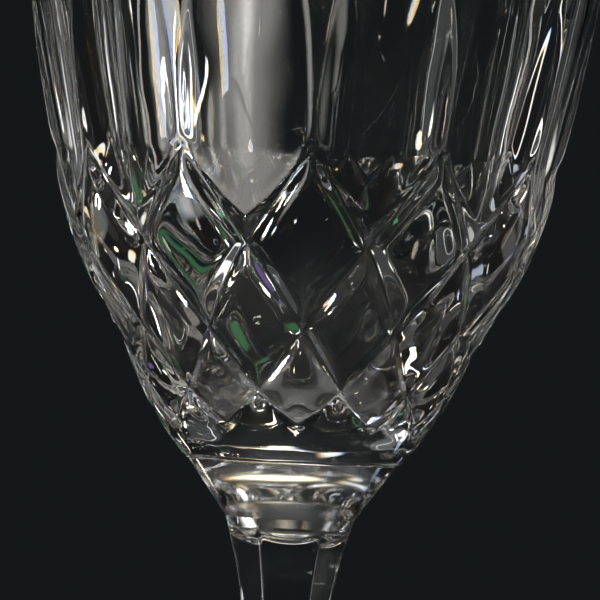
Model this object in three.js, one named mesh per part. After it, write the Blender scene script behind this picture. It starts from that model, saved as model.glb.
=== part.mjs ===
// A cut crystal wine glass in four pieces of solid glass, one standing on the other: a round foot, a six-sided
// stem, a short cone under the bowl, and the bowl, cut with upright flutes over a lattice of crossing grooves.
// Millimetres, +Z up. The origin is the centre of the foot's underside, and -Y is the front.
import * as THREE from 'three';
import { mergeVertices } from 'three/addons/utils/BufferGeometryUtils.js';

// Heights of the four pieces, from the table up
const footHeight = 7;
const stemLength = 77.5;
const seatHeight = 7.5;
const bowlHeight = 84;

// Radii where the pieces meet
const stemFootRadius = 9.5;
const stemHeadRadius = 8.75;
const seamRadius = 14.5;
const seamLip = 0.35;

// Foot: a thin disc that sweeps up to the stem
const footRadius = 34;
const footEdgeThickness = 2.4;
const footEdgeRounding = 0.8;
const footPlateauRadius = 24;
const footPlateauHeight = 3.1;
const footSweepRadius = 15;
const footSweepHeight = 4.2;

// Stem: radii over its corners, at distances below its head
const neckRadius = 6.45;
const neckDrop = 9.3;
const waistRadius = 5.2;
const waistDrop = 44.5;
const ankleRadius = 6.3;
const ankleDrop = 66;
const facetCount = 6;
const facetMargin = 1.1;
const facetRunOut = 2.4;

// Bowl: its outline, as radii at heights above its base
const heelRadius = 19.2;
const heelHeight = 6.2;
const hipRadius = 23.4;
const hipHeight = 14.5;
const flankRadius = 29.3;
const flankHeight = 25.1;
const shoulderRadius = 33.05;
const shoulderHeight = 35;
const ridgeEndRadius = 34.5;
const ridgeEndHeight = 41.2;
const wallRadius = 37.65;
const wallHeight = 57.5;
const rimRadius = 40.2;

// Bowl: its wall, and the solid glass under its hollow
const heelWall = 7.2;
const flankWall = 4.8;
const ridgeEndWall = 3.8;
const rimWall = 1.6;
const floorHeight = 7.5;
const floorRoundness = 3;
const floorFlatRadius = 5;

// Cutting: flutes above, and below them two families of grooves that cross in rows under the flutes' ridges
const fluteCount = 12;
const fluteWheelRadius = 60;
const plainRimBand = 10;
const crossingHeights = [29, 17.9, 10, 5.4];
const grooveHalfWidths = [0.9, 1.7, 1.45, 1.1, 0.8];
const grooveFlankAngle = 32;

// Fineness of the facets
const columnsPerHalfPitch = 4;
const stationsPerRow = 4;
const fluteStations = 7;
const innerStations = 7;
const floorStations = 5;
const stemColumns = 48;
const stemStations = 10;
const footColumns = 72;
const footStations = 9;

const stemBase = footHeight;
const seatBase = stemBase + stemLength;
const bowlBase = seatBase + seatHeight;
const flutePitch = (2 * Math.PI) / fluteCount;
const facetPitch = (2 * Math.PI) / facetCount;
const fluteTopHeight = bowlHeight - plainRimBand;
const rowHeights = [ridgeEndHeight, ...crossingHeights];
const lastRow = rowHeights.length - 1;
const bowlColumns = 2 * columnsPerHalfPitch * fluteCount;
const rimRounding = rimWall / 2;

// A smooth curve through [x, y] pairs, as a function of x
function curveThrough(pairs) {
  const sorted = [...pairs].sort((p, q) => p[0] - q[0]);
  const xs = sorted.map((pair) => pair[0]);
  const ys = sorted.map((pair) => pair[1]);
  const curve = new THREE.CubicInterpolant(xs, ys, 1, new Float64Array(1));
  return (x) => curve.evaluate(x)[0];
}

function smoothStep(x) {
  return THREE.MathUtils.smoothstep(x, 0, 1);
}

// The signed distance from an angle to the nearest multiple of a pitch
function fromNearest(angle, pitch) {
  return angle - pitch * Math.round(angle / pitch);
}

// Turns an outline of [radius, height] points about the Z axis. inset(point index, angle) says how deep the
// turned surface is cut there. Each square of the surface is split along its deeper diagonal, so that the
// bottom of a slanting groove stays one straight line of edges.
function turned(outline, columns, inset = () => 0) {
  const points = outline.map(([radius, height]) => new THREE.Vector2(radius, height));
  const lathe = new THREE.LatheGeometry(points, columns);
  lathe.rotateX(Math.PI / 2);
  const position = lathe.getAttribute('position');
  const radii = [];
  for (let i = 0; i < position.count; i += 1) {
    const column = Math.floor(i / points.length);
    const point = i % points.length;
    const angle = (2 * Math.PI * (column % columns)) / columns;
    const radius = points[point].x - inset(point, angle);
    position.setX(i, radius * Math.sin(angle));
    position.setY(i, -radius * Math.cos(angle));
    radii.push(radius);
  }

  const index = [];
  for (let column = 0; column < columns; column += 1) {
    for (let point = 0; point < points.length - 1; point += 1) {
      const a = column * points.length + point;
      const b = a + points.length;
      if (radii[a] + radii[b + 1] < radii[a + 1] + radii[b]) {
        index.push(a, b, b + 1, a, b + 1, a + 1);
      } else {
        index.push(a, b, a + 1, b, b + 1, a + 1);
      }
    }
  }
  const surface = new THREE.BufferGeometry();
  surface.setAttribute('position', position);
  surface.setIndex(index);
  return closed(surface);
}

// Merges the vertices that share a place, and drops the triangles that this leaves with no area
function closed(surface) {
  const merged = mergeVertices(surface, 1e-4);
  const corners = merged.index.array;
  const kept = [];
  for (let i = 0; i < corners.length; i += 3) {
    const [a, b, c] = corners.slice(i, i + 3);
    if (a !== b && b !== c && c !== a) {
      kept.push(a, b, c);
    }
  }
  merged.setIndex(kept);
  merged.computeVertexNormals();
  return merged;
}

// Clear, colourless and polished
function crystal() {
  return new THREE.MeshStandardMaterial({
    color: 0xf2f6f6,
    roughness: 0.03,
    metalness: 0,
    transparent: true,
    opacity: 0.35,
  });
}

function piece(name, geometry, base) {
  const mesh = new THREE.Mesh(geometry, crystal());
  mesh.name = name;
  mesh.position.z = base;
  return mesh;
}

// Foot: flat underneath, with a rounded edge and a top that rises in one hollow sweep
function makeFoot() {
  const sweep = new THREE.SplineCurve([
    new THREE.Vector2(footRadius - footEdgeRounding, footEdgeThickness),
    new THREE.Vector2(footPlateauRadius, footPlateauHeight),
    new THREE.Vector2(footSweepRadius, footSweepHeight),
    new THREE.Vector2(stemFootRadius, footHeight),
  ]);
  const outline = [
    [0, 0],
    [footRadius - footEdgeRounding, 0],
    [footRadius, footEdgeRounding],
    [footRadius, footEdgeThickness - footEdgeRounding],
    ...sweep.getPoints(footStations).map((point) => [point.x, point.y]),
    [0, footHeight],
  ];
  return piece('foot', turned(outline, footColumns), 0);
}

// Stem: turned to its corner radius and then cut flat on six sides, with facets that run out at both ends
function makeStem() {
  const cornerRadius = curveThrough([
    [0, stemFootRadius],
    [stemLength - ankleDrop, ankleRadius],
    [stemLength - waistDrop, waistRadius],
    [stemLength - neckDrop, neckRadius],
    [stemLength, stemHeadRadius],
  ]);
  const runOut = facetMargin + facetRunOut;
  const heights = [0, facetMargin, facetMargin + facetRunOut / 2];
  for (let i = 0; i <= stemStations; i += 1) {
    heights.push(runOut + ((stemLength - 2 * runOut) * i) / stemStations);
  }
  heights.push(stemLength - facetMargin - facetRunOut / 2, stemLength - facetMargin, stemLength);

  const outline = [
    [0, 0],
    ...heights.map((height) => [cornerRadius(height), height]),
    [0, stemLength],
  ];
  const facetInset = (point, angle) => {
    const [radius, height] = outline[point];
    const fromEnd = Math.min(height, stemLength - height);
    const flatness = smoothStep((fromEnd - facetMargin) / facetRunOut);
    const apothem = radius * (1 - flatness * (1 - Math.cos(facetPitch / 2)));
    return Math.max(0, radius - apothem / Math.cos(fromNearest(angle, facetPitch)));
  };
  return piece('stem', turned(outline, stemColumns, facetInset), stemBase);
}

// Seat: the solid cone between the stem's head and the bowl
function makeSeat() {
  const outline = [
    [0, 0],
    [stemHeadRadius, 0],
    [seamRadius - seamLip, seatHeight],
    [0, seatHeight],
  ];
  return piece('bowl_seat', turned(outline, stemColumns), seatBase);
}

const bowlRadius = curveThrough([
  [0, seamRadius],
  [heelHeight, heelRadius],
  [hipHeight, hipRadius],
  [flankHeight, flankRadius],
  [shoulderHeight, shoulderRadius],
  [ridgeEndHeight, ridgeEndRadius],
  [wallHeight, wallRadius],
  [bowlHeight, rimRadius],
]);

const wallThickness = curveThrough([
  [heelHeight, heelWall],
  [flankHeight, flankWall],
  [ridgeEndHeight, ridgeEndWall],
  [bowlHeight - rimRounding, rimWall],
]);

const rowHeight = curveThrough(rowHeights.map((height, row) => [row, height]));
const grooveHalfWidth = curveThrough(grooveHalfWidths.map((width, row) => [row, width]));

// Flutes: hollow channels that just meet in ridges at ridgeEndHeight, and run out above and below it
function fluteDepth(radius, height, angle) {
  const reach = (ridgeEndRadius * flutePitch) / 2;
  const fullDepth = (reach ** 2 * (1 / ridgeEndRadius + 1 / fluteWheelRadius)) / 2;
  const above = (height - ridgeEndHeight) / (fluteTopHeight - ridgeEndHeight);
  const below = (ridgeEndHeight - height) / (ridgeEndHeight - crossingHeights[0]);
  const share = above > 0 ? 1 - above ** 3 : smoothStep(1 - below);
  const across = radius * fromNearest(angle - flutePitch / 2, flutePitch);
  return share * fullDepth - (across ** 2 * (1 / radius + 1 / fluteWheelRadius)) / 2;
}

// Grooves: V cuts that start under each ridge and slant both ways, half a pitch for each row of crossings
function grooveDepth(radius, row, angle) {
  const above = Math.max(row - 0.5, 0);
  const below = Math.min(row + 0.5, lastRow);
  const dropPerRow = (rowHeight(above) - rowHeight(below)) / (below - above);
  const slant = Math.atan2((radius * flutePitch) / 2, dropPerRow);
  const drift = (row * flutePitch) / 2;
  const nearer = Math.min(
    Math.abs(fromNearest(angle - drift, flutePitch)),
    Math.abs(fromNearest(angle + drift, flutePitch)),
  );
  const across = radius * nearer * Math.cos(slant);
  const flankSlope = Math.tan(THREE.MathUtils.degToRad(grooveFlankAngle));
  return (grooveHalfWidth(row) - across) * flankSlope;
}

// The wall's inner side, at right angles to the outline
function innerPoint(height) {
  const step = 0.1;
  const lean = Math.atan2(bowlRadius(height) - bowlRadius(height - step), step);
  const wall = wallThickness(height);
  return [bowlRadius(height) - wall * Math.cos(lean), height + wall * Math.sin(lean)];
}

// Bowl: the outer side from its base to the rim, the rounded rim, and the hollow down to its floor
function makeBowl() {
  const outer = [];
  const addStation = (height, row = null) => outer.push({ height, row });
  const plainHeights = [0, rowHeights[lastRow] / 3, (2 * rowHeights[lastRow]) / 3];
  plainHeights.forEach((height) => addStation(height));
  for (let i = lastRow * stationsPerRow; i >= 0; i -= 1) {
    addStation(rowHeight(i / stationsPerRow), i / stationsPerRow);
  }
  for (let i = 1; i <= fluteStations; i += 1) {
    addStation(ridgeEndHeight + ((fluteTopHeight - ridgeEndHeight) * i) / fluteStations);
  }
  addStation(bowlHeight - rimRounding);

  const rim = [];
  const rimCentre = rimRadius - rimRounding;
  for (const turn of [45, 90, 135]) {
    const angle = THREE.MathUtils.degToRad(turn);
    rim.push([
      rimCentre + rimRounding * Math.cos(angle),
      bowlHeight - rimRounding + rimRounding * Math.sin(angle),
    ]);
  }

  const inner = [[rimRadius - rimWall, bowlHeight - rimRounding]];
  for (let i = innerStations - 1; i >= 0; i -= 1) {
    inner.push(innerPoint(heelHeight + ((bowlHeight - rimRounding - heelHeight) * i) / innerStations));
  }
  const [heelX, heelZ] = inner[inner.length - 1];
  const [aboveX, aboveZ] = inner[inner.length - 2];
  const downwards = new THREE.Vector2(heelX - aboveX, heelZ - aboveZ).setLength(floorRoundness);
  const floor = new THREE.CubicBezierCurve(
    new THREE.Vector2(heelX, heelZ),
    new THREE.Vector2(heelX, heelZ).add(downwards),
    new THREE.Vector2(floorFlatRadius, floorHeight),
    new THREE.Vector2(0, floorHeight),
  );
  const floorPoints = floor.getPoints(floorStations).slice(1).map((point) => [point.x, point.y]);

  const outline = [
    [0, 0],
    ...outer.map(({ height }) => [bowlRadius(height), height]),
    ...rim,
    ...inner,
    ...floorPoints,
  ];
  const cutting = (point, angle) => {
    const station = outer[point - 1];
    if (!station) {
      return 0;
    }
    const radius = bowlRadius(station.height);
    const groove = station.row === null ? 0 : grooveDepth(radius, station.row, angle);
    return Math.max(0, groove, fluteDepth(radius, station.height, angle));
  };
  return piece('bowl', turned(outline, bowlColumns, cutting), bowlBase);
}

const glass = new THREE.Group();
glass.add(makeFoot(), makeStem(), makeSeat(), makeBowl());

export default glass;
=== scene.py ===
import math

import bpy
import numpy as np
from mathutils import Matrix, Vector


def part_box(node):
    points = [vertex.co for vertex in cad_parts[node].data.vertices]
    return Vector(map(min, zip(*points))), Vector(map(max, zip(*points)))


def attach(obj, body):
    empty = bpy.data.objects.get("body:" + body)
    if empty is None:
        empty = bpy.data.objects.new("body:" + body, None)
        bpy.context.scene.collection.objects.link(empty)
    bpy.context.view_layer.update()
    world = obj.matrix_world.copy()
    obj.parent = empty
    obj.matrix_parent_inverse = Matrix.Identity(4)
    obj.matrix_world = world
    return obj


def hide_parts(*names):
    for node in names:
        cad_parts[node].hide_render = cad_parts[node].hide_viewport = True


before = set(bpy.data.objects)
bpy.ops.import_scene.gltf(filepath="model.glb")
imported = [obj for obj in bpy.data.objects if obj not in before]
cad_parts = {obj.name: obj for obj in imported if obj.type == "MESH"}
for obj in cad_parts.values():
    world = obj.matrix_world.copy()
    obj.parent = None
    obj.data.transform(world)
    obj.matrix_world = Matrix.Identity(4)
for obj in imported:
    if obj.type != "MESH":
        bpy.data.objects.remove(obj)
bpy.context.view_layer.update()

MM = 0.001

# Heights and radii of the pieces, from the frame
_, foot_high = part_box("foot")
seat_low, seat_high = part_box("bowl_seat")
bowl_low, bowl_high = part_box("bowl")
FOOT_TOP = foot_high[2]
FOOT_RADIUS = foot_high[0]
SEAT_BASE = seat_low[2]
SEAT_TOP_RADIUS = seat_high[0]
BOWL_BASE = bowl_low[2]
BOWL_HEIGHT = bowl_high[2] - bowl_low[2]

# Radii where the pieces meet
STEM_FOOT_RADIUS = 9.5 * MM
STEM_HEAD_RADIUS = 8.75 * MM
SEAM_RADIUS = 14.5 * MM

# The bowl: its radius and its wall's thickness at heights above its base, all in millimetres
BOWL_OUTLINE = [
    (0, 14.5), (6.2, 19.2), (14.5, 23.4), (25.1, 29.3),
    (35, 33.05), (41.2, 34.5), (57.5, 37.65), (84, 40.2),
]
BOWL_WALL = [(6.2, 7.2), (25.1, 4.8), (41.2, 3.8), (83.2, 1.6)]
BASE_ROUNDING = 0.3 * MM
RIM_ROUNDING = 0.8 * MM
INNER_START = 2 * MM  # below the rim
SLOPE_REACH = 0.1 * MM  # how far up and down the wall's slope is measured
FLOOR_HEIGHT = 7.5 * MM
FLOOR_FLAT_RADIUS = 5 * MM
FLOOR_ROUNDNESS = 3 * MM

# The cutting: flutes over a lattice of grooves, which cross in rows. The rows are numbered from
# the ridges' ends downwards, and have heights above the bowl's base, in millimetres
FLUTES = 12
PITCH = 2 * math.pi / FLUTES
FLUTE_WHEEL_RADIUS = 60 * MM
FLUTE_TOP = BOWL_HEIGHT - 10 * MM
FLUTE_EDGE_ROUNDING = 0.3 * MM
CROSSING_ROWS = [(0, 41.2), (1, 29), (2, 17.9), (3, 10), (4, 5.4)]
GROOVE_HALF_WIDTHS = [(0, 0.9), (1, 1.7), (2, 1.45), (3, 1.1), (4, 0.8)]
GROOVE_FLANK = math.radians(32)
LAST_ROW = 4
PILLOW = 0.3 * MM
VALLEY_ROUNDING = 0.16 * MM

# The stem: its radius across corners at heights above the foot, in millimetres
STEM_OUTLINE = [(0, 9.5), (11.5, 6.3), (33, 5.2), (68.2, 6.45), (77.5, 8.75)]
STEM_LENGTH = SEAT_BASE - FOOT_TOP
STEM_FACETS = 6
FACET_MARGIN = 1.2 * MM
FACET_RUN_OUT = 1.3 * MM
CORNER_ROUNDING = 0.25 * MM
SCALLOP_ROUNDING = 0.3 * MM
LEAST_ROUNDING = 0.001 * MM

# The foot: (radius, height) in millimetres, round its edge and then from the stem out to that edge
UNDERSIDE_BEVEL = 0.8 * MM
FOOT_EDGE = [(34, 0.8), (34, 1.6), (33.2, 2.4)]
FOOT_SWEEP = [(9.5, 7), (15, 4.2), (24, 3.1), (33.2, 2.4)]

# Hand polishing: wave lengths, how many waves, and the slopes (in radians) that they give
RIPPLE_LENGTHS = (6 * MM, 16 * MM)
RIPPLE_WAVES = 28
OUTER_RIPPLE = 0.010
INNER_RIPPLE = 0.006
STEM_RIPPLE = 0.008
BOWL_RIPPLE_RADIUS = SEAM_RADIUS * 2  # where the waves round the bowl have their stated lengths
RIPPLE_SINK = 0.02 * MM
POLISH_DEPTH = 0.003 * MM

# How far the ripple takes to fade in from the bowl's base, its rim and the middle of its floor
BASE_FADE = 2 * MM
RIM_FADE = 20 * MM
CENTRE_FADE = 6 * MM

# Fineness of the meshes: points in a ring, and rings in each stretch
CUT_COLUMNS = 720
PLAIN_COLUMNS = 180
STEM_COLUMNS = 240
BASE_RINGS = 6
HEEL_RINGS = 12
LATTICE_STEP = 0.25 * MM
FLUTE_RINGS = 34
SHOULDER_RINGS = 5
RIM_RINGS = 9
INNER_RINGS = 60
FLOOR_RINGS = 24
SEAT_RINGS = 20
RUN_OUT_RINGS = 50
SHAFT_RINGS = 110
FOOT_RINGS = 50
GROOVE_STEPS = 400
SHARP_ANGLE = math.radians(45)

# Where each stretch of the bowl's outer rings starts and ends, from the form that it covers
HEEL_INSETS = (0.2 * MM, 1 * MM)
LATTICE_MARGINS = (0.8 * MM, 1.6 * MM)
FLUTE_INSET = 2.2 * MM
FLUTE_MARGIN = 1 * MM
SHOULDER_INSET = 3 * MM

# Materials: each noise is (scale, detail, distortion)
CRYSTAL_IOR = 1.545
CRYSTAL_TONES = (0.97, 0.985, 0.975), (0.995, 0.992, 0.985)
CRYSTAL_SWIRL = 35, 1, 1.5
CRYSTAL_POLISH = 400, 1, 0
SEAT_ROUGHNESS = 0.1
BOARD_ROUGHNESS = 0.6
BOARD_TONES = (0.75, 0.74, 0.72), (0.81, 0.8, 0.78)
BOARD_MOTTLE = 60, 4, 0
BOARD_GRAIN_DEPTH = 0.2 * MM
BOARD_GRAIN_STRENGTH = 0.2

# The studio
FLOOR_RADIUS = 0.9
FLOOR_SIDES = 128
FLOOR_GAP = 0.2 * MM  # under the foot
BACKDROP = (0.0075, 0.009, 0.0096)
AMBIENT = (0.0115, 0.0115, 0.0115)
TARGET = Vector((0, 0, BOWL_BASE + 22 * MM))
FOOT_PLACE = Vector((0, 0, 0))
BULB_CORE = 0.75

# Colours of the lamps
NEUTRAL = (1, 0.98, 0.93)
WHITE = (0.97, 0.98, 1)
CREAM = (1, 0.88, 0.68)
GREEN = (0.25, 1, 0.42)
VIOLET = (0.55, 0.3, 1)

# Colours across a lamp: they stand for the fringes that thick crystal draws round a bright lamp
FRINGES = [
    (0.1, (1, 0.6, 0.2)),
    (0.25, (1, 0.92, 0.65)),
    (0.4, (1, 1, 1)),
    (0.6, (1, 1, 1)),
    (0.75, (0.7, 0.8, 1)),
    (0.9, (0.35, 0.45, 1)),
]

# Small lamps round the room: (range of elevations, distance) of the low and the high ones, and the
# ranges of their widths at one distance, of their heights as shares of that, and of their radiance
SPARKLES = 20
SPARKLE_SEED = 11
LOW_SPARKLES = (-30, -24), 0.19
HIGH_SPARKLES = (8, 55), 0.4
SPARKLE_SIZES = (0.006, 0.012)
SPARKLE_SIZE_DISTANCE = 0.2
SPARKLE_STRETCH = (1, 2)
SPARKLE_RADIANCES = (4, 16)

# The photograph's camera
PIXELS = 600
PIXELS_PER_MM = 7.4
SEAM_ROW = 462
CAMERA_DISTANCE = 0.65
CAMERA_AZIMUTH = math.radians(-1.2)
CAMERA_ROLL = math.radians(2.7)
SENSOR = 36.0
NEAREST = 0.05

# How often light may pass through, or be mirrored by, a surface
GLASS_BOUNCES = 24
GLOSSY_BOUNCES = 12


def spline_through(pairs):
    """The natural cubic spline through (x, y) pairs, as a function of x."""
    xs, ys = (np.array(values, float) for values in zip(*sorted(pairs)))
    gaps = np.diff(xs)
    slopes = np.diff(ys) / gaps
    count = len(xs)
    system = np.eye(count)
    right = np.zeros(count)
    for i in range(1, count - 1):
        system[i, i - 1:i + 2] = gaps[i - 1], 2 * (gaps[i - 1] + gaps[i]), gaps[i]
        right[i] = 6 * (slopes[i] - slopes[i - 1])
    bends = np.linalg.solve(system, right)

    def value(x):
        x = np.asarray(x, float)
        i = np.clip(np.searchsorted(xs, x) - 1, 0, count - 2)
        left, gap = x - xs[i], gaps[i]
        tangent = slopes[i] - gap * (2 * bends[i] + bends[i + 1]) / 6
        curl = bends[i] / 2 + left * (bends[i + 1] - bends[i]) / (6 * gap)
        return ys[i] + left * (tangent + left * curl)

    return value


def in_metres(pairs):
    """The spline through pairs in millimetres, as a function that takes and gives metres."""
    curve = spline_through(pairs)
    return lambda x: curve(np.asarray(x) / MM) * MM


bowl_radius = in_metres(BOWL_OUTLINE)
bowl_wall = in_metres(BOWL_WALL)
stem_radius = in_metres(STEM_OUTLINE)
row_height = spline_through(CROSSING_ROWS)
groove_half_width = spline_through(GROOVE_HALF_WIDTHS)

ROWS = np.linspace(0, LAST_ROW, GROOVE_STEPS)
ROW_HEIGHTS = row_height(ROWS) * MM
LATTICE_TOP, LATTICE_BASE = ROW_HEIGHTS[0], ROW_HEIGHTS[-1]


def smooth_step(x):
    """0 up to 0, 1 from 1 on, and a smooth rise between them."""
    x = np.clip(x, 0, 1)
    return x * x * (3 - 2 * x)


def rounded_max(a, b, rounding):
    """The larger of two depths, with the edge between them rounded."""
    blend = np.maximum(rounding - np.abs(a - b), 0) / rounding
    return np.maximum(a, b) + blend * blend * rounding / 4


def from_nearest(angle, pitch):
    """The angle from the nearest multiple of the pitch."""
    return angle - pitch * np.round(angle / pitch)


def flute_depth(radius, height, angle):
    """Depth of the upright channels, which meet in ridges and run out at both ends."""
    ridge_end = row_height(0) * MM
    first_crossing = row_height(1) * MM
    ridge_radius = bowl_radius(ridge_end)
    reach = ridge_radius * PITCH / 2
    full = reach ** 2 * (1 / ridge_radius + 1 / FLUTE_WHEEL_RADIUS) / 2
    above = np.clip((height - ridge_end) / (FLUTE_TOP - ridge_end), 0, 2)
    below = np.clip((ridge_end - height) / (ridge_end - first_crossing), 0, 1)
    share = np.where(height > ridge_end, 1 - above ** 3, smooth_step(1 - below))
    across = radius * from_nearest(angle - PITCH / 2, PITCH)
    return share * full - across ** 2 * (1 / radius + 1 / FLUTE_WHEEL_RADIUS) / 2


def groove_depth(radius, height, angle, lean):
    """Depth of one family of slanting V grooves; lean is 1 or -1."""
    row = np.interp(height, ROW_HEIGHTS[::-1], ROWS[::-1])
    drop_per_row = -np.gradient(ROW_HEIGHTS, ROWS)
    drop = np.interp(row, ROWS, drop_per_row)
    slant = np.arctan2(radius * PITCH / 2, drop)
    turn = from_nearest(angle - lean * row * PITCH / 2, PITCH)
    across = radius * turn * np.cos(slant)
    distance = np.sqrt(across ** 2 + VALLEY_ROUNDING ** 2)
    past_end = np.maximum(LATTICE_BASE - height, 0) + np.maximum(height - LATTICE_TOP, 0)
    return (groove_half_width(row) * MM - distance - past_end) * math.tan(GROOVE_FLANK)


def cut_depth(radius, height, angle):
    """Depth of all the cutting; polishing has melted its edges into soft pillows."""
    flute = rounded_max(flute_depth(radius, height, angle), 0, FLUTE_EDGE_ROUNDING)
    cuts = [flute] + [groove_depth(radius, height, angle, lean) for lean in (1, -1)]
    deepest = np.maximum.reduce(cuts)
    return deepest + PILLOW * np.log(sum(np.exp((cut - deepest) / PILLOW) for cut in cuts))


class Ripple:
    """The slow unevenness of hand polishing, as a sum of waves round and along the glass."""

    def __init__(self, seed, slope, radius):
        dice = np.random.default_rng(seed)
        length = dice.uniform(*RIPPLE_LENGTHS, RIPPLE_WAVES)
        heading = dice.uniform(0, math.pi, RIPPLE_WAVES)
        wave = 2 * math.pi / length
        self.round_count = np.round(wave * np.cos(heading) * radius)
        self.along = wave * np.sin(heading)
        self.phase = dice.uniform(0, 2 * math.pi, RIPPLE_WAVES)
        self.size = slope * math.sqrt(2 / RIPPLE_WAVES) / wave

    def depth(self, height, angle):
        turn = self.round_count[:, None] * angle + (self.along * height + self.phase)[:, None]
        return (self.size[:, None] * np.sin(turn)).sum(axis=0)


def column_angles(columns):
    """The angles of a ring's points, from the camera's side round by the right."""
    return np.arange(columns) * 2 * math.pi / columns


def ring(radius, height, columns):
    """One ring of points; radius may differ from column to column."""
    angle = column_angles(columns)
    radius = np.broadcast_to(radius, angle.shape)
    height = np.broadcast_to(height, angle.shape)
    return np.stack([radius * np.sin(angle), -radius * np.cos(angle), height], axis=1)


class Skin:
    """Collects the rings of one closed surface, joins each to the last, and marks its seams.

    seams holds the material of each face: 1 where two pieces are fused, and otherwise 0."""

    def __init__(self):
        self.points = []
        self.faces = []
        self.seams = []
        self.last = None

    def add_points(self, points):
        start = len(self.points)
        self.points.extend(points.tolist())
        return np.arange(start, start + len(points))

    def add_faces(self, faces, seam=0):
        self.faces.extend(faces)
        self.seams.extend([seam] * len(faces))

    def start(self, radius, height, columns, seam=1):
        """Opens the surface with a flat disc that faces down."""
        self.last = self.add_points(ring(radius, height, columns))
        self.add_faces([self.last[::-1].tolist()], seam)

    def ring(self, radius, height, columns):
        """Adds a ring, with as many columns as the last one or a whole part of them."""
        new = self.add_points(ring(radius, height, columns))
        old = self.last
        step = len(old) // len(new)
        bottom = np.stack([np.roll(old, -i)[::step] for i in range(step + 1)], axis=1)
        top = np.stack([np.roll(new, -1), new], axis=1)
        self.add_faces(np.concatenate([bottom, top], axis=1).tolist())
        self.last = new

    def finish_point(self, height):
        """Closes the surface with a fan of faces to a point on the axis."""
        top = self.add_points(np.array([[0.0, 0.0, height]]))[0]
        self.add_faces([[a, b, top] for a, b in zip(self.last, np.roll(self.last, -1))])

    def finish_flat(self):
        """Closes the surface with a seam on the last ring."""
        self.add_faces([self.last.tolist()], seam=1)

    def make(self, name, materials):
        """The surface as an object; its materials are the glass and the inside of a seam."""
        mesh = bpy.data.meshes.new(name)
        mesh.from_pydata(self.points, [], self.faces)
        for material in materials:
            mesh.materials.append(material)
        mesh.polygons.foreach_set("material_index", self.seams)
        mesh.polygons.foreach_set("use_smooth", [True] * len(self.faces))
        mesh.set_sharp_from_angle(angle=SHARP_ANGLE)
        mesh.update()
        piece = bpy.data.objects.new(name, mesh)
        bpy.context.scene.collection.objects.link(piece)
        return piece


def mottled_material(name, roughness, tones, tone_noise, relief_noise, depth, strength=1):
    """A surface whose colour drifts between two tones, with a faint relief."""
    material = bpy.data.materials.new(name)
    material.use_nodes = True
    nodes, links = material.node_tree.nodes, material.node_tree.links
    shader = nodes["Principled BSDF"]
    shader.inputs["Roughness"].default_value = roughness
    place = nodes.new("ShaderNodeTexCoord")

    def noise(settings):
        texture = nodes.new("ShaderNodeTexNoise")
        for socket, value in zip(("Scale", "Detail", "Distortion"), settings):
            texture.inputs[socket].default_value = value
        links.new(place.outputs["Object"], texture.inputs["Vector"])
        return texture.outputs["Fac"]

    tone = nodes.new("ShaderNodeMix")
    tone.data_type = "RGBA"
    for socket, colour in zip("AB", tones):
        tone.inputs[socket].default_value = (*colour, 1)
    bump = nodes.new("ShaderNodeBump")
    bump.inputs["Strength"].default_value = strength
    bump.inputs["Distance"].default_value = depth
    links.new(noise(tone_noise), tone.inputs["Factor"])
    links.new(tone.outputs["Result"], shader.inputs["Base Color"])
    links.new(noise(relief_noise), bump.inputs["Height"])
    links.new(bump.outputs["Normal"], shader.inputs["Normal"])
    return material


def crystal_material(name, roughness):
    """Clear polished crystal, with faint swirls in its colour and in the polish of its surface."""
    material = mottled_material(name, roughness, CRYSTAL_TONES, CRYSTAL_SWIRL, CRYSTAL_POLISH,
                                POLISH_DEPTH)
    shader = material.node_tree.nodes["Principled BSDF"]
    shader.inputs["IOR"].default_value = CRYSTAL_IOR
    shader.inputs["Transmission Weight"].default_value = 1.0
    return material


def seam_material():
    """The inside of a fused seam, where glass meets glass and nothing shows."""
    material = bpy.data.materials.new("fused_seam")
    material.use_nodes = True
    nodes, links = material.node_tree.nodes, material.node_tree.links
    nodes.clear()
    clear = nodes.new("ShaderNodeBsdfTransparent")
    output = nodes.new("ShaderNodeOutputMaterial")
    links.new(clear.outputs["BSDF"], output.inputs["Surface"])
    return material


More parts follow.
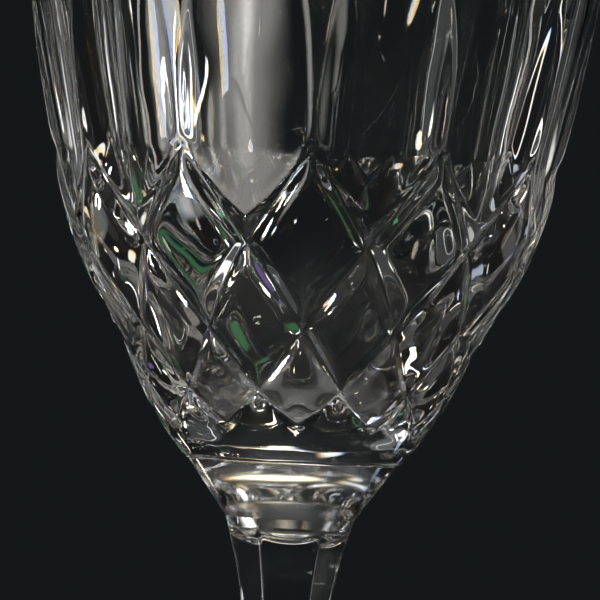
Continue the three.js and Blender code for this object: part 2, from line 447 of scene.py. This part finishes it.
def bowl_outside(skin):
    """The rounded base, the cut outside with its heel, lattice and flutes, and the plain rim."""
    skin.start(SEAT_TOP_RADIUS, BOWL_BASE, CUT_COLUMNS)
    lip = SEAM_RADIUS - SEAT_TOP_RADIUS
    for turn in np.linspace(0, math.pi / 2, BASE_RINGS)[1:]:
        height = BOWL_BASE + BASE_ROUNDING * (1 - math.cos(turn))
        skin.ring(SEAT_TOP_RADIUS + lip * math.sin(turn), height, CUT_COLUMNS)

    below, above = LATTICE_MARGINS
    heights = np.concatenate([
        np.linspace(BASE_ROUNDING + HEEL_INSETS[0], LATTICE_BASE - HEEL_INSETS[1], HEEL_RINGS),
        np.arange(LATTICE_BASE - below, LATTICE_TOP + above, LATTICE_STEP),
        np.linspace(LATTICE_TOP + FLUTE_INSET, FLUTE_TOP + FLUTE_MARGIN, FLUTE_RINGS),
    ])
    angle = column_angles(CUT_COLUMNS)
    ripple = Ripple(seed=3, slope=OUTER_RIPPLE, radius=BOWL_RIPPLE_RADIUS)
    for height in heights:
        radius = bowl_radius(height)
        fade = smooth_step(height / BASE_FADE) * smooth_step((BOWL_HEIGHT - height) / RIM_FADE)
        unevenness = fade * (ripple.depth(height, angle) + RIPPLE_SINK)
        depth = cut_depth(radius, height, angle) + unevenness
        skin.ring(radius - depth, BOWL_BASE + height, CUT_COLUMNS)

    shoulder_top = BOWL_HEIGHT - RIM_ROUNDING
    for height in np.linspace(FLUTE_TOP + SHOULDER_INSET, shoulder_top, SHOULDER_RINGS):
        skin.ring(bowl_radius(height), BOWL_BASE + height, PLAIN_COLUMNS)
    rim_centre = bowl_radius(shoulder_top) - RIM_ROUNDING
    for turn in np.linspace(0, math.pi, RIM_RINGS)[1:]:
        height = BOWL_BASE + shoulder_top + RIM_ROUNDING * math.sin(turn)
        skin.ring(rim_centre + RIM_ROUNDING * math.cos(turn), height, PLAIN_COLUMNS)


def inner_outline():
    """(radius, height) down the inside of the wall, then in towards the middle of the floor."""
    outline = []
    heel = BOWL_WALL[0][0] * MM
    for height in np.linspace(BOWL_HEIGHT - INNER_START, heel, INNER_RINGS):
        rise = bowl_radius(height + SLOPE_REACH) - bowl_radius(height - SLOPE_REACH)
        lean = math.atan2(rise, 2 * SLOPE_REACH)
        wall = bowl_wall(height)
        inner_radius = bowl_radius(height) - wall * math.cos(lean)
        outline.append((inner_radius, height + wall * math.sin(lean)))
    start = np.array(outline[-1])
    down = start - np.array(outline[-2])
    control = start + down / np.linalg.norm(down) * FLOOR_ROUNDNESS
    flat = np.array([FLOOR_FLAT_RADIUS, FLOOR_HEIGHT])
    end = np.array([0, FLOOR_HEIGHT])
    for t in np.linspace(0, 1, FLOOR_RINGS)[1:-1]:
        s = 1 - t
        outline.append(
            s ** 3 * start + 3 * s ** 2 * t * control + 3 * s * t * t * flat + t ** 3 * end)
    return outline


def make_bowl():
    skin = Skin()
    bowl_outside(skin)
    angle = column_angles(PLAIN_COLUMNS)
    ripple = Ripple(seed=5, slope=INNER_RIPPLE, radius=BOWL_RIPPLE_RADIUS)
    for radius, height in inner_outline():
        fade = smooth_step((BOWL_HEIGHT - height) / RIM_FADE) * smooth_step(radius / CENTRE_FADE)
        skin.ring(radius + fade * ripple.depth(height, angle), BOWL_BASE + height, PLAIN_COLUMNS)
    skin.finish_point(BOWL_BASE + FLOOR_HEIGHT)
    return skin


def make_seat():
    skin = Skin()
    skin.start(STEM_HEAD_RADIUS, SEAT_BASE, STEM_COLUMNS)
    widening = SEAT_TOP_RADIUS - STEM_HEAD_RADIUS
    height = BOWL_BASE - SEAT_BASE
    for share in np.linspace(0, 1, SEAT_RINGS)[1:]:
        skin.ring(STEM_HEAD_RADIUS + widening * share, SEAT_BASE + height * share, STEM_COLUMNS)
    skin.finish_flat()
    return skin


def facet_depth(height, angle):
    """Depth of the stem's facets, which run out in scallops at both ends, and the ripple's fade."""
    facet = 2 * math.pi / STEM_FACETS
    radius = float(stem_radius(height))
    apothem = radius * math.cos(facet / 2)
    inset = radius - apothem / np.cos(from_nearest(angle, facet))
    inset = rounded_max(inset, 0, CORNER_ROUNDING)
    from_end = min(height, STEM_LENGTH - height)
    past_margin = max(from_end - FACET_MARGIN, 0)
    flare = (radius - apothem) * (past_margin / FACET_RUN_OUT) ** 2
    rounding = SCALLOP_ROUNDING * smooth_step(from_end / FACET_MARGIN) + LEAST_ROUNDING
    depth = np.maximum(-rounded_max(-inset, -flare, rounding), 0)
    return depth, smooth_step(past_margin / FACET_RUN_OUT)


def make_stem():
    skin = Skin()
    skin.start(STEM_FOOT_RADIUS, FOOT_TOP, STEM_COLUMNS)
    run_out = np.linspace(0, FACET_MARGIN + 3 * FACET_RUN_OUT, RUN_OUT_RINGS)
    heights = np.concatenate([
        run_out,
        np.linspace(run_out[-1], STEM_LENGTH - run_out[-1], SHAFT_RINGS)[1:-1],
        STEM_LENGTH - run_out[::-1],
    ])
    angle = column_angles(STEM_COLUMNS)
    ripple = Ripple(seed=7, slope=STEM_RIPPLE, radius=STEM_HEAD_RADIUS)
    for height in heights[1:]:
        depth, fade = facet_depth(height, angle)
        depth = depth + fade * (ripple.depth(height, angle) + RIPPLE_SINK)
        skin.ring(float(stem_radius(height)) - depth, FOOT_TOP + height, STEM_COLUMNS)
    skin.finish_flat()
    return skin


def make_foot():
    skin = Skin()
    skin.start(FOOT_RADIUS - UNDERSIDE_BEVEL, 0, STEM_COLUMNS, seam=0)
    for radius, height in FOOT_EDGE:
        skin.ring(radius * MM, height * MM, STEM_COLUMNS)
    sweep = spline_through(FOOT_SWEEP)
    for radius in np.linspace(FOOT_SWEEP[-1][0], FOOT_SWEEP[0][0], FOOT_RINGS)[1:]:
        skin.ring(radius * MM, sweep(radius) * MM, STEM_COLUMNS)
    skin.finish_flat()
    return skin


glass_pieces = bpy.data.collections.new("glass_pieces")
seam = seam_material()
for node, skin, slot, roughness in (
    ("foot", make_foot(), "foot_crystal", 0.0),
    ("stem", make_stem(), "stem_crystal", 0.0),
    ("bowl_seat", make_seat(), "stem_crystal", SEAT_ROUGHNESS),
    ("bowl", make_bowl(), "bowl_crystal", 0.0),
):
    piece = skin.make(node + "_glass", [crystal_material("polished_" + node, roughness), seam])
    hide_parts(node)
    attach(piece, "root")
    glass_pieces.objects.link(piece)
    piece.visible_shadow = node != "foot"  # the floor stays pale where it shows through the foot

# Stage: pale matt board, faintly mottled, in a dark room
bpy.ops.mesh.primitive_circle_add(
    vertices=FLOOR_SIDES, radius=FLOOR_RADIUS, fill_type="NGON", location=(0, 0, -FLOOR_GAP))
floor = bpy.context.object
floor.name = "floor"
floor.data.materials.append(mottled_material(
    "pale_floor", BOARD_ROUGHNESS, BOARD_TONES, BOARD_MOTTLE, BOARD_MOTTLE, BOARD_GRAIN_DEPTH,
    BOARD_GRAIN_STRENGTH))
floor_pieces = bpy.data.collections.new("floor_pieces")
floor_pieces.objects.link(floor)

scene = bpy.context.scene
scene.world = bpy.data.worlds.new("studio")
scene.world.use_nodes = True
nodes, links = scene.world.node_tree.nodes, scene.world.node_tree.links
nodes.clear()
path = nodes.new("ShaderNodeLightPath")
mix = nodes.new("ShaderNodeMixShader")
out = nodes.new("ShaderNodeOutputWorld")
for socket, colour in (1, BACKDROP), (2, AMBIENT):
    background = nodes.new("ShaderNodeBackground")
    background.inputs["Color"].default_value = (*colour, 1)
    links.new(background.outputs[0], mix.inputs[socket])
links.new(path.outputs["Is Diffuse Ray"], mix.inputs["Fac"])
links.new(mix.outputs[0], out.inputs["Surface"])


def softbox(name, azimuth, elevation, distance, width, height, radiance, colour=(1, 1, 1),
            spread=180, core=0.3, fringed=False, lights=glass_pieces, target=TARGET):
    """A rectangular lamp that faces its target. Azimuth 0 is the camera's side, 90 the right.

    It shines evenly over the core of its width and height, and fades from there to its edge."""
    a, e = math.radians(azimuth), math.radians(elevation)
    place = target + distance * Vector(
        (math.sin(a) * math.cos(e), -math.cos(a) * math.cos(e), math.sin(e)))
    data = bpy.data.lights.new(name, "AREA")
    data.shape = "RECTANGLE"
    data.size, data.size_y = width, height
    data.energy = 4 * width * height * radiance  # an area lamp shines with power / (4 * area)
    data.color = colour
    data.spread = math.radians(spread)
    data.use_nodes = True
    nodes, links = data.node_tree.nodes, data.node_tree.links
    geometry = nodes.new("ShaderNodeNewGeometry")
    from_middle = nodes.new("ShaderNodeVectorMath")
    from_middle.operation = "DISTANCE"
    from_middle.inputs[1].default_value = (0.5, 0.5, 0)
    fade = nodes.new("ShaderNodeMapRange")
    fade.interpolation_type = "SMOOTHSTEP"
    fade.inputs["From Min"].default_value = 0.5
    fade.inputs["From Max"].default_value = 0.5 * core
    links.new(geometry.outputs["Parametric"], from_middle.inputs[0])
    links.new(from_middle.outputs["Value"], fade.inputs["Value"])
    links.new(fade.outputs["Result"], nodes["Emission"].inputs["Strength"])
    if fringed:
        split = nodes.new("ShaderNodeSeparateXYZ")
        ramp = nodes.new("ShaderNodeValToRGB")
        stops = ramp.color_ramp.elements
        while len(stops) < len(FRINGES):
            stops.new(0.5)
        for stop, (position, shade) in zip(stops, FRINGES):
            stop.position = position
            stop.color = (*shade, 1)
        links.new(geometry.outputs["Parametric"], split.inputs[0])
        links.new(split.outputs["X"], ramp.inputs["Fac"])
        links.new(ramp.outputs["Color"], nodes["Emission"].inputs["Color"])
    lamp = bpy.data.objects.new(name, data)
    lamp.location = place
    lamp.rotation_euler = (place - target).to_track_quat("Z", "Y").to_euler()
    lamp.visible_camera = False
    lamp.light_linking.receiver_collection = lights
    scene.collection.objects.link(lamp)


def bulb(name, place, width, height, radiance, colour):
    """A fringed lamp at a place in the room; most of them make crisp glints on the cutting."""
    away = Vector(place) - TARGET
    azimuth = math.degrees(math.atan2(away.x, -away.y))
    elevation = math.degrees(math.asin(away.z / away.length))
    softbox(name, azimuth, elevation, away.length, width, height, radiance, colour,
            core=BULB_CORE, fringed=True)


# Panels in front: the bright flute, and what the flutes and grooves mirror
softbox("front_left_panel", -28.5, -6, 0.26, 0.085, 0.17, 3.4, NEUTRAL, core=0.35)
softbox("left_front_card", -57, -22, 0.26, 0.05, 0.05, 3, NEUTRAL)
softbox("left_low_panel", -102, -8, 0.4, 0.07, 0.12, 1.1, NEUTRAL, core=0.6)
softbox("right_front_panel", 38, 30, 0.6, 0.3, 0.18, 2.6, NEUTRAL)
softbox("right_side_panel", 85, 32, 0.6, 0.3, 0.16, 4.5, NEUTRAL, core=0.5, fringed=True)

# Panels behind: the soft streaks of the seat, and the pale bands along the bowl's sides
softbox("back_left_panel", -158, 45, 0.6, 0.2, 0.2, 1.2, core=0.5, fringed=True)
softbox("back_right_panel", 140, 38, 0.6, 0.16, 0.16, 1.2, core=0.5, fringed=True)
softbox("cone_panel", 172, 30, 0.6, 0.4, 0.3, 1.6, CREAM, fringed=True)
softbox("rim_left_panel", -154, 0, 0.5, 0.12, 0.3, 0.1, core=0.6)
softbox("rim_right_panel", 154, 0, 0.5, 0.12, 0.3, 0.04, core=0.6)
softbox("top_panel", 180, 70, 0.6, 0.7, 0.7, 0.06, core=0.2)
softbox("left_band_lamp", -147.3, -3.5, 0.5, 0.056, 0.06, 1.6, NEUTRAL, core=0.5)
softbox("right_band_lamp", 146.5, -3, 0.5, 0.056, 0.06, 1.8, NEUTRAL, core=0.5)
softbox("rim_left_tube", -156, 0, 0.5, 0.005, 0.3, 0.6)
softbox("rim_right_tube", 157, 0, 0.5, 0.005, 0.3, 0.8)

# The floor's own lamps, which make a pale pool round the foot
for side, azimuth in ("right", 40), ("left", -130):
    softbox("floor_lamp_" + side, azimuth, 65, 0.7, 0.1, 0.1, 0.4, spread=15, core=0.8,
            lights=floor_pieces, target=FOOT_PLACE)

# Bulbs that show as white and cream dashes in the flutes
bulb("bulb_flute", (-0.105, -0.297, 0.033), 0.004, 0.016, 30, WHITE)
bulb("bulb_left", (-0.303, 0.046, 0.08), 0.004, 0.02, 30, WHITE)
bulb("bulb_right_high", (0.14, -0.29, 0.066), 0.01, 0.024, 12, CREAM)
bulb("bulb_right_low", (0.128, -0.289, 0.029), 0.008, 0.006, 20, CREAM)
bulb("back_left_lamp", (-0.238, 0.4386, 0.1), 0.024, 0.07, 1.6, WHITE)

# The white star where the left ridge ends, and the dashes near it
bulb("star", (-0.245, -0.185, 0.03), 0.055, 0.12, 60, WHITE)
softbox("star_left_arm", -66, -26, 0.3, 0.06, 0.03, 60, WHITE, core=BULB_CORE)
softbox("star_right_arm", -44, -26.5, 0.3, 0.045, 0.016, 60, WHITE, core=BULB_CORE)
bulb("star_high", (-0.217, -0.252, 0.104), 0.04, 0.05, 30, WHITE)
bulb("dash_high", (-0.25, -0.204, 0.118), 0.03, 0.05, 30, WHITE)
bulb("dash_low", (-0.1, -0.18, 0.02), 0.02, 0.02, 30, WHITE)

# Light along the outlines of the bowl and the stem
bulb("left_edge_card", (-0.252, 0.134, 0.039), 0.12, 0.03, 0.8, NEUTRAL)
bulb("right_edge_card", (0.252, 0.134, 0.039), 0.12, 0.03, 0.4, NEUTRAL)
bulb("left_edge_tube", (-0.37, 0.03, 0.07), 0.006, 0.14, 4, NEUTRAL)
bulb("right_edge_tube", (0.39, -0.03, 0.06), 0.006, 0.12, 4, NEUTRAL)
bulb("right_rim_tube", (0.33, 0.16, 0.08), 0.016, 0.2, 1, NEUTRAL)
softbox("stem_card", -140, 5, 0.313, 0.04, 0.1, 0.02, NEUTRAL)
bulb("right_glint", (0.093, 0.06, 0.027), 0.03, 0.014, 2.5, WHITE)
bulb("stem_edge_lamp", (-0.127, 0.272, 0.026), 0.012, 0.03, 5, WHITE)
softbox("left_side_card", -85, 32, 0.6, 0.1, 0.08, 3, WHITE, core=0.5)

# Coloured things in the room, which the grooves mirror
bulb("green_mirrored", (0, -0.329, 0.098), 0.05, 0.012, 4, GREEN)
bulb("green_card", (-0.0703, 0.2298, 0.045), 0.035, 0.035, 0.1, GREEN)
bulb("violet_card", (-0.0836, 0.1792, 0.0176), 0.025, 0.025, 0.2, VIOLET)

# The sparkle of the cut lattice
dice = np.random.default_rng(SPARKLE_SEED)
for index in range(SPARKLES):
    azimuth = (index + dice.uniform(0, 1)) * 360 / SPARKLES - 180
    elevations, distance = LOW_SPARKLES if index % 2 else HIGH_SPARKLES
    elevation = dice.uniform(*elevations)
    width = dice.uniform(*SPARKLE_SIZES) * distance / SPARKLE_SIZE_DISTANCE
    height = width * dice.uniform(*SPARKLE_STRETCH)
    radiance = dice.uniform(*SPARKLE_RADIANCES)
    colour = CREAM if index % 3 else WHITE
    softbox("sparkle_%02d" % index, azimuth, elevation, distance, width, height, radiance, colour,
            core=BULB_CORE, fringed=True)

# Camera
camera_data = bpy.data.cameras.new("camera")
camera_data.sensor_width = SENSOR
camera_data.lens = SENSOR * CAMERA_DISTANCE / (PIXELS / PIXELS_PER_MM * MM)
camera_data.clip_start = NEAREST
camera = bpy.data.objects.new("camera", camera_data)
camera.location = (
    math.sin(CAMERA_AZIMUTH) * CAMERA_DISTANCE,
    -math.cos(CAMERA_AZIMUTH) * CAMERA_DISTANCE,
    BOWL_BASE + (SEAM_ROW - PIXELS / 2) / PIXELS_PER_MM * MM,
)
level = Matrix.Rotation(CAMERA_AZIMUTH, 4, "Z") @ Matrix.Rotation(math.pi / 2, 4, "X")
camera.rotation_euler = (level @ Matrix.Rotation(CAMERA_ROLL, 4, "Z")).to_euler()
scene.collection.objects.link(camera)
bpy.context.scene.camera = camera

# Render settings
scene.view_settings.view_transform = "Standard"
scene.cycles.max_bounces = GLASS_BOUNCES
scene.cycles.transmission_bounces = GLASS_BOUNCES
scene.cycles.glossy_bounces = GLOSSY_BOUNCES
scene.cycles.transparent_max_bounces = GLASS_BOUNCES

# Without caustics the foot looks clear from above, and the glass shows little noise
scene.cycles.caustics_refractive = False
scene.cycles.caustics_reflective = False
